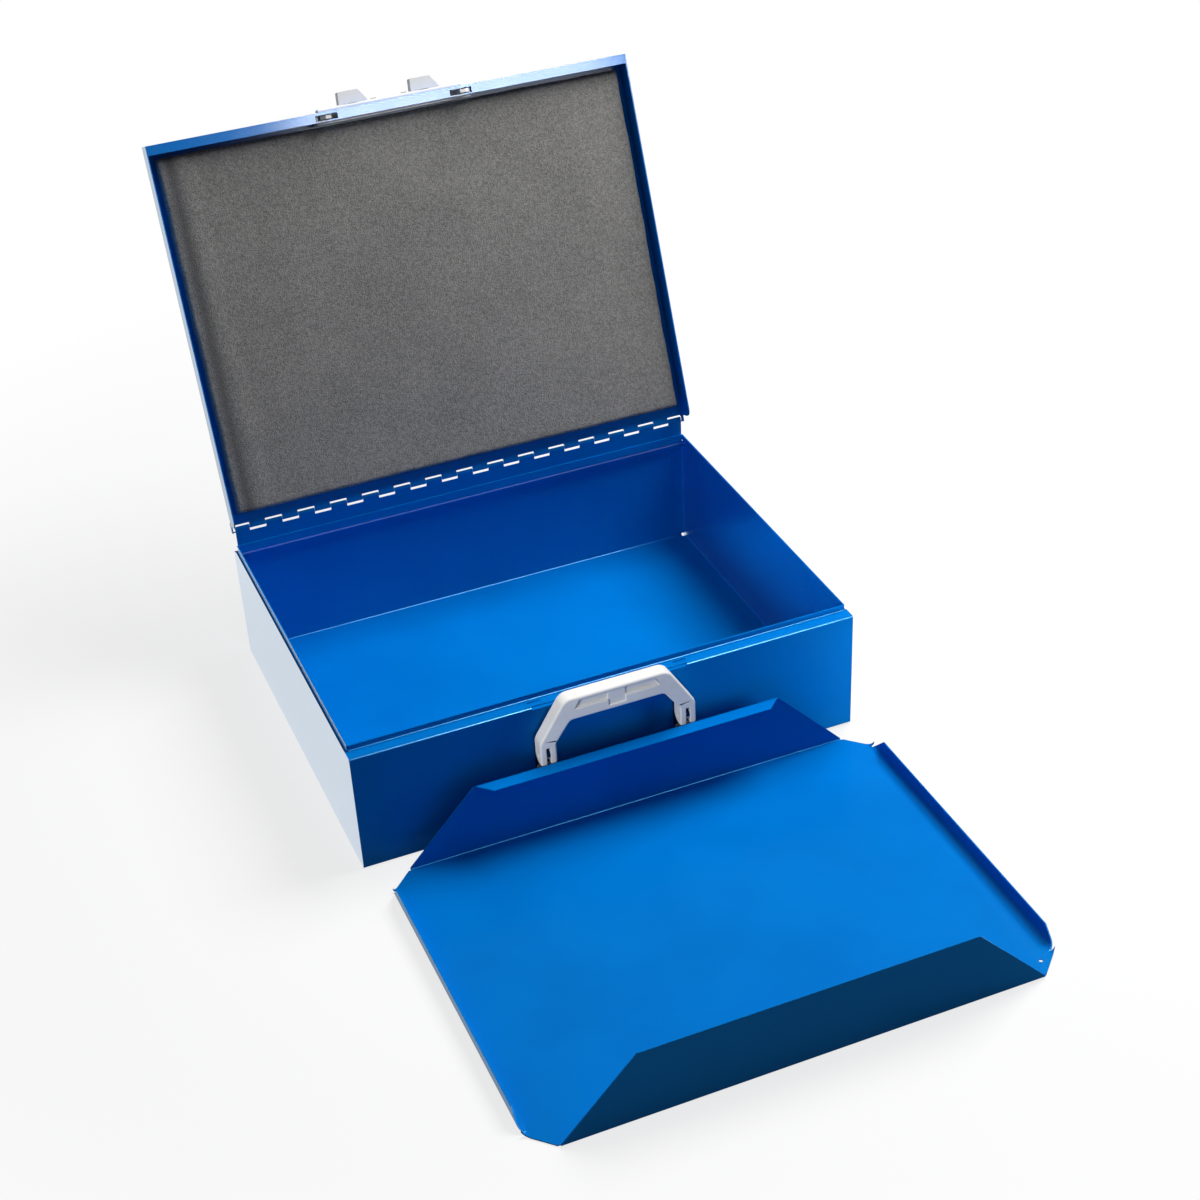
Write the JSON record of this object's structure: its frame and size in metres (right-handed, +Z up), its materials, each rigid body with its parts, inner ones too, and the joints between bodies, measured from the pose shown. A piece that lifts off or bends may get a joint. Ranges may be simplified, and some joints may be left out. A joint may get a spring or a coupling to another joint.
{
  "type": "tool case",
  "caption": "Sheet-steel case with a foam-lined lid on a piano hinge, swing handle, slide latches and a loose insert tray.",
  "frame": {"origin": "centre of the case's underside, on the surface it stands on", "axes": "+X to the case's right, +Y from the front wall to the hinge, +Z up"},
  "size_m": [0.443, 0.8057, 0.4613],
  "materials": {
    "blue_sheet": "semi-gloss powder coat",
    "hinge_blue": "semi-gloss powder coat",
    "tray_blue": "semi-gloss powder coat",
    "foam_grey": "open-cell foam, speckled",
    "handle_grey": "light grey moulded plastic",
    "latch_grey": "light grey moulded plastic",
    "pin_steel": "drawn steel",
    "bracket_steel": "dark painted steel"
  },
  "bodies": {
    "case": {"case_shell": "blue_sheet", "side_panel_left": "blue_sheet", "side_panel_right": "blue_sheet", "body_hinge_leaf": "hinge_blue", "hinge_pin": "pin_steel", "handle_bracket_left": "bracket_steel", "handle_bracket_right": "bracket_steel", "handle_pins": "pin_steel"},
    "lid": {"lid_shell": "blue_sheet", "lid_hinge_leaf": "hinge_blue", "lid_foam": "foam_grey", "latch_bezel": "latch_grey", "latch_cover": "latch_grey", "latch_rivets": "pin_steel"},
    "latch_left": {"latch_slider_left": "latch_grey"},
    "latch_right": {"latch_slider_right": "latch_grey"},
    "handle": {"handle": "handle_grey"},
    "tray": {"insert_tray": "tray_blue"}
  },
  "joints": [
    {"name": "lid_hinge", "type": "hinge", "parent": "case", "child": "lid", "pos_m": [0, 0.1668, 0.132], "axis": [1, 0, 0], "range_deg": [0, 112]},
    {"name": "latch_left_slide", "type": "slide", "parent": "lid", "child": "latch_left", "axis": [-1, 0, 0], "range_m": [0, 0.005]},
    {"name": "latch_right_slide", "type": "slide", "parent": "lid", "child": "latch_right", "axis": [1, 0, 0], "range_m": [0, 0.005]},
    {"name": "handle_swing", "type": "hinge", "parent": "case", "child": "handle", "pos_m": [0, -0.181, 0.07], "axis": [1, 0, 0], "range_deg": [0, 90]},
    {"name": "tray_lift", "type": "slide", "parent": "case", "child": "tray", "axis": [0, 0, 1], "range_m": [0, 0.2]}
  ]
}
